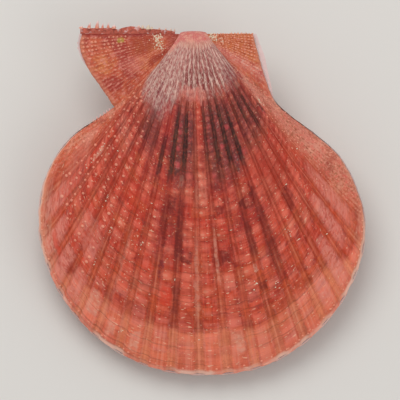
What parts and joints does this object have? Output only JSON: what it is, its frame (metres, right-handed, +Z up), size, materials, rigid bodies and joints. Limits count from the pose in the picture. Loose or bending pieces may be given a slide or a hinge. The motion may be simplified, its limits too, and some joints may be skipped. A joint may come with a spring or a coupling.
{
  "type": "scallop shell",
  "caption": "Closed fan-shaped scallop shell with ribbed valves, unequal ears and a spiny fold beside the hinge, lying on its convex lower valve",
  "frame": {"origin": "On the surface the shell lies on, under the centre of its bounding box", "axes": "+Z up as the shell rests on its right valve, hinge line along X with the long anterior ear toward -X, hinge toward +Y and rounded ventral margin toward -Y"},
  "size_m": [0.082, 0.0874, 0.029],
  "materials": {
    "left_valve": "dull calcite shell, coral red ribs crossed by fine growth bars, brown-black blotches, cream ribs round the beak and a paler rim",
    "right_valve": "dull calcite shell, paler salmon red with cream ribs round the beak and a whitish lip at the margin",
    "ligament": "dark brown horny hinge ligament"
  },
  "bodies": {
    "root": {"left_valve": "left_valve", "right_valve": "right_valve", "ligament": "ligament"}
  },
  "joints": []
}
